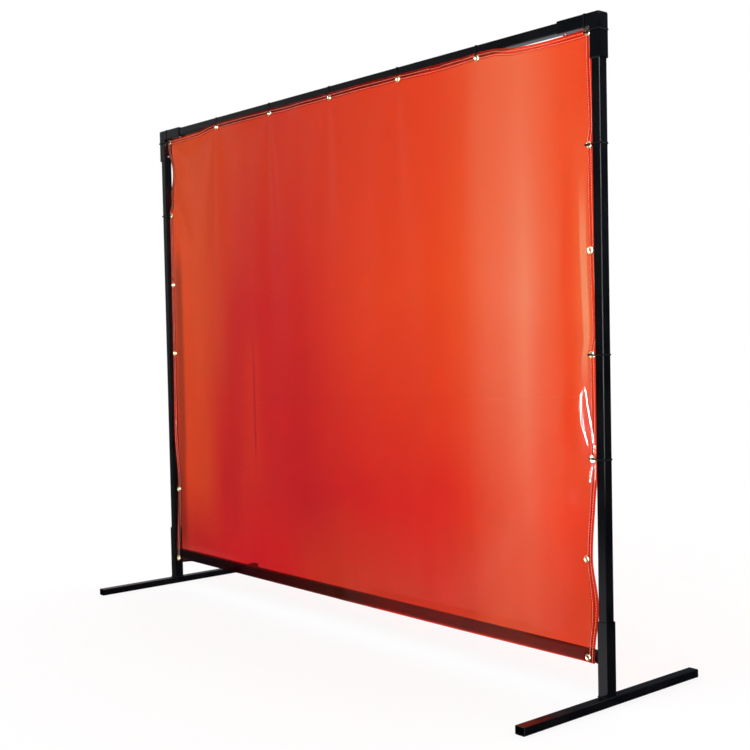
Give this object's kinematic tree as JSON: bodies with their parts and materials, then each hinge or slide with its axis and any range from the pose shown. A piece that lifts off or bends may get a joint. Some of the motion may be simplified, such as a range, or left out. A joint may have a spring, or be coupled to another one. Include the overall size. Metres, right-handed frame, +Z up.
{
  "type": "welding curtain screen",
  "caption": "Free-standing welding screen: square steel tube frame in two cross feet, with a tinted clear vinyl curtain tied on through brass grommets.",
  "frame": {"origin": "on the floor, in the middle of the two feet's box", "axes": "+X along the screen, +Y towards the back, +Z up; the curtain hangs on the front (-Y) of the rails"},
  "size_m": [2.442, 0.7874, 1.9832],
  "materials": {
    "frame_black": "gloss",
    "curtain_vinyl": "gloss, transparent",
    "grommet_brass": "polished",
    "button_steel": "polished",
    "spring_steel": "satin",
    "tie_nylon": "matte"
  },
  "bodies": {
    "base": {"foot_left": "frame_black", "foot_right": "frame_black", "lower_rail": "frame_black", "rail_spigot_left": "frame_black", "rail_spigot_right": "frame_black", "socket_left": "frame_black", "socket_right": "frame_black"},
    "screen_frame": {"curtain": "curtain_vinyl", "elbow_left": "frame_black", "elbow_right": "frame_black", "grommet_left_1": "grommet_brass", "grommet_left_2": "grommet_brass", "grommet_left_3": "grommet_brass", "grommet_left_4": "grommet_brass", "grommet_left_5": "grommet_brass", "grommet_left_6": "grommet_brass", "grommet_right_1": "grommet_brass", "grommet_right_2": "grommet_brass", "grommet_right_3": "grommet_brass", "grommet_right_4": "grommet_brass", "grommet_right_5": "grommet_brass", "grommet_right_6": "grommet_brass", "grommet_top_1": "grommet_brass", "grommet_top_2": "grommet_brass", "grommet_top_3": "grommet_brass", "grommet_top_4": "grommet_brass", "grommet_top_5": "grommet_brass", "grommet_top_6": "grommet_brass", "grommet_top_7": "grommet_brass", "snap_spring_left_side": "spring_steel", "snap_spring_left_top": "spring_steel", "snap_spring_right_side": "spring_steel", "snap_spring_right_top": "spring_steel", "tie_left_1": "tie_nylon", "tie_left_corner": "tie_nylon", "tie_right_1": "tie_nylon", "tie_right_3": "tie_nylon", "tie_right_4": "tie_nylon", "tie_right_corner": "tie_nylon", "tie_top_1": "tie_nylon", "tie_top_2": "tie_nylon", "tie_top_3": "tie_nylon", "tie_top_4": "tie_nylon", "tie_top_5": "tie_nylon", "tie_top_6": "tie_nylon", "tie_top_7": "tie_nylon", "top_rail": "frame_black", "upright_left": "frame_black", "upright_right": "frame_black"},
    "button_left_top": {"snap_button_left_top": "button_steel"},
    "button_left_side": {"snap_button_left_side": "button_steel"},
    "button_right_top": {"snap_button_right_top": "button_steel"},
    "button_right_side": {"snap_button_right_side": "button_steel"}
  },
  "joints": [
    {"name": "frame_lift", "type": "slide", "parent": "base", "child": "screen_frame", "axis": [0, 0, 1], "range_m": [0, 0.215]},
    {"name": "button_left_top_press", "type": "slide", "parent": "screen_frame", "child": "button_left_top", "axis": [0, 0, 1], "range_m": [0, 0.0064], "stiffness_N_per_m": 2300, "springref_m": -0.002, "deforming": ["snap_spring_left_top"]},
    {"name": "button_left_side_press", "type": "slide", "parent": "screen_frame", "child": "button_left_side", "axis": [-1, 0, 0], "range_m": [0, 0.0064], "stiffness_N_per_m": 2300, "springref_m": -0.002, "deforming": ["snap_spring_left_side"]},
    {"name": "button_right_top_press", "type": "slide", "parent": "screen_frame", "child": "button_right_top", "axis": [0, 0, 1], "range_m": [0, 0.0064], "stiffness_N_per_m": 2300, "springref_m": -0.002, "deforming": ["snap_spring_right_top"]},
    {"name": "button_right_side_press", "type": "slide", "parent": "screen_frame", "child": "button_right_side", "axis": [1, 0, 0], "range_m": [0, 0.0064], "stiffness_N_per_m": 2300, "springref_m": -0.002, "deforming": ["snap_spring_right_side"]}
  ]
}
